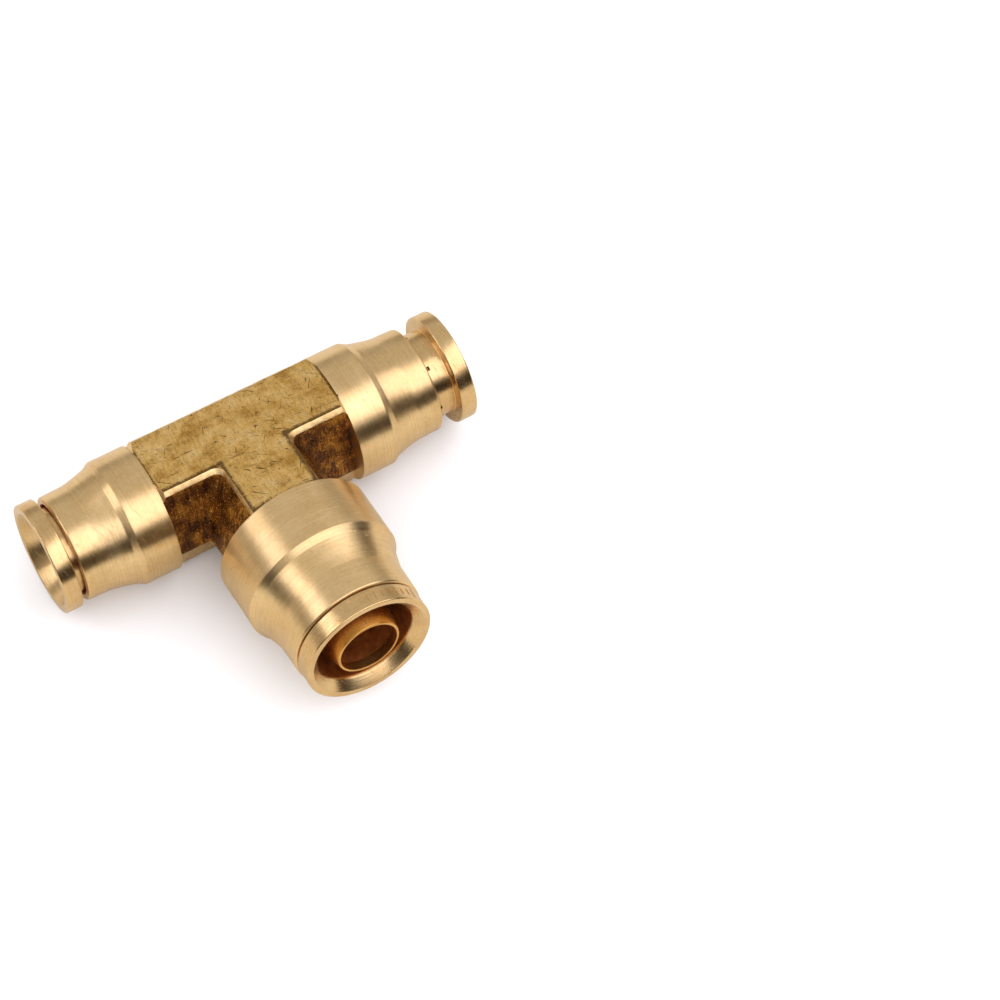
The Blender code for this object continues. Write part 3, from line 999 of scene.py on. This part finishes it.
def floor_material():
    """Pale to the camera, and darker where the brass mirrors it."""
    material, nodes, shader, coordinates, _ = new_material("pale_floor")
    cloud = nodes.noise(coordinates.outputs["Object"], 9.0, detail=4.0)
    pale = nodes.ramp(cloud, [(0.3, (0.93, 0.93, 0.93)), (0.7, (0.95, 0.95, 0.95))])
    path = nodes.add("ShaderNodeLightPath")
    nodes.set(shader, "Base Color", nodes.mix(path.outputs["Is Glossy Ray"], pale,
                                              FLOOR_IN_REFLECTIONS))
    shader.inputs["Roughness"].default_value = 0.9
    return material


def add_floor():
    slope, height = resting_plane()
    builder = bmesh.new()
    bmesh.ops.create_grid(builder, x_segments=FLOOR_CELLS, y_segments=FLOOR_CELLS,
                          size=FLOOR_SIZE)
    floor = finish_mesh("floor", builder, [floor_material()])
    floor.matrix_world = (Matrix.Translation((0, 0, height * MM))
                          @ Matrix.Rotation(slope, 4, "X"))


ROOM_FRONT = (0.012, 0.006, 0.003, 1)
ROOM_BACK = (0.38, 0.36, 0.33, 1)
ROOM_CEILING = (0.58, 0.56, 0.52, 1)
BACKDROP = (1.1, 1.1, 1.1, 1)
BOX_LIGHT = (1.0, 0.98, 1.1)
BOX_DISTANCE = 0.6


def add_softbox(name, direction, width, height, radiance):
    """A rectangular light that faces the object. Its radiance is how bright it looks."""
    data = bpy.data.lights.new(name, "AREA")
    data.shape = "RECTANGLE"
    data.size = width
    data.size_y = height
    data.energy = radiance * math.pi * width * height
    data.color = BOX_LIGHT
    light = bpy.data.objects.new(name, data)
    toward = Vector(direction).normalized()
    light.location = toward * BOX_DISTANCE
    light.rotation_mode = "QUATERNION"
    light.rotation_quaternion = toward.to_track_quat("Z", "Y")
    light.visible_camera = False
    bpy.context.scene.collection.objects.link(light)


def add_world():
    """White to the camera and as soft light. The brass mirrors a room instead: dark low
    down in front, lit low down behind, and pale overhead."""
    world = bpy.data.worlds.new("studio")
    world.use_nodes = True
    bpy.context.scene.world = world
    nodes = Nodes(world.node_tree)
    background = world.node_tree.nodes["Background"]
    coordinates = nodes.add("ShaderNodeTexCoord")
    parts = nodes.add("ShaderNodeSeparateXYZ", {"Vector": coordinates.outputs["Generated"]})
    behind = nodes.ramp(parts.outputs["Y"], [(0.0, 0.0), (0.35, 1.0)])
    horizon = nodes.mix(behind, ROOM_FRONT, ROOM_BACK)
    rising = nodes.ramp(parts.outputs["Z"], [(0.3, 0.0), (0.55, 1.0)])
    room = nodes.mix(rising, horizon, ROOM_CEILING)
    path = nodes.add("ShaderNodeLightPath")
    seen = nodes.mix(path.outputs["Is Glossy Ray"], BACKDROP, room)
    nodes.set(background, "Color", seen)


def add_lights():
    add_world()
    add_softbox("key_box", (0.3, -0.52, 0.8), width=1.1, height=0.5, radiance=1.3)
    add_softbox("left_box", (-0.71, 0.25, 0.66), width=0.4, height=0.28, radiance=1.6)


CAMERA_PLACE = (-0.09518, -0.24446, 0.35761)
CAMERA_RIGHT = (0.86, -0.5095, -0.0293)
CAMERA_UP = (0.4281, 0.6889, 0.5849)
LENS = 124.8             # mm
SENSOR = 36.0
NEAR_CLIP = 0.01
FAR_CLIP = 20


def add_camera():
    """At the photograph's viewing angle, a little over 0.4 m away."""
    data = bpy.data.cameras.new("camera")
    data.sensor_width = SENSOR
    data.lens = LENS
    data.clip_start = NEAR_CLIP
    data.clip_end = FAR_CLIP
    right = Vector(CAMERA_RIGHT).normalized()
    back = right.cross(Vector(CAMERA_UP)).normalized()
    up = back.cross(right)
    turn = Matrix((right, up, back)).transposed().to_4x4()
    camera = bpy.data.objects.new("camera", data)
    camera.matrix_world = Matrix.Translation(CAMERA_PLACE) @ turn
    bpy.context.scene.collection.objects.link(camera)
    bpy.context.scene.camera = camera


add_body()
for each in PORTS:
    add_support(each)
    add_seal(each)
    add_backup_ring(each)
    add_collet(each)
add_floor()
add_lights()
add_camera()
bpy.context.scene.view_settings.view_transform = "Standard"

bpy.context.view_layer.update()
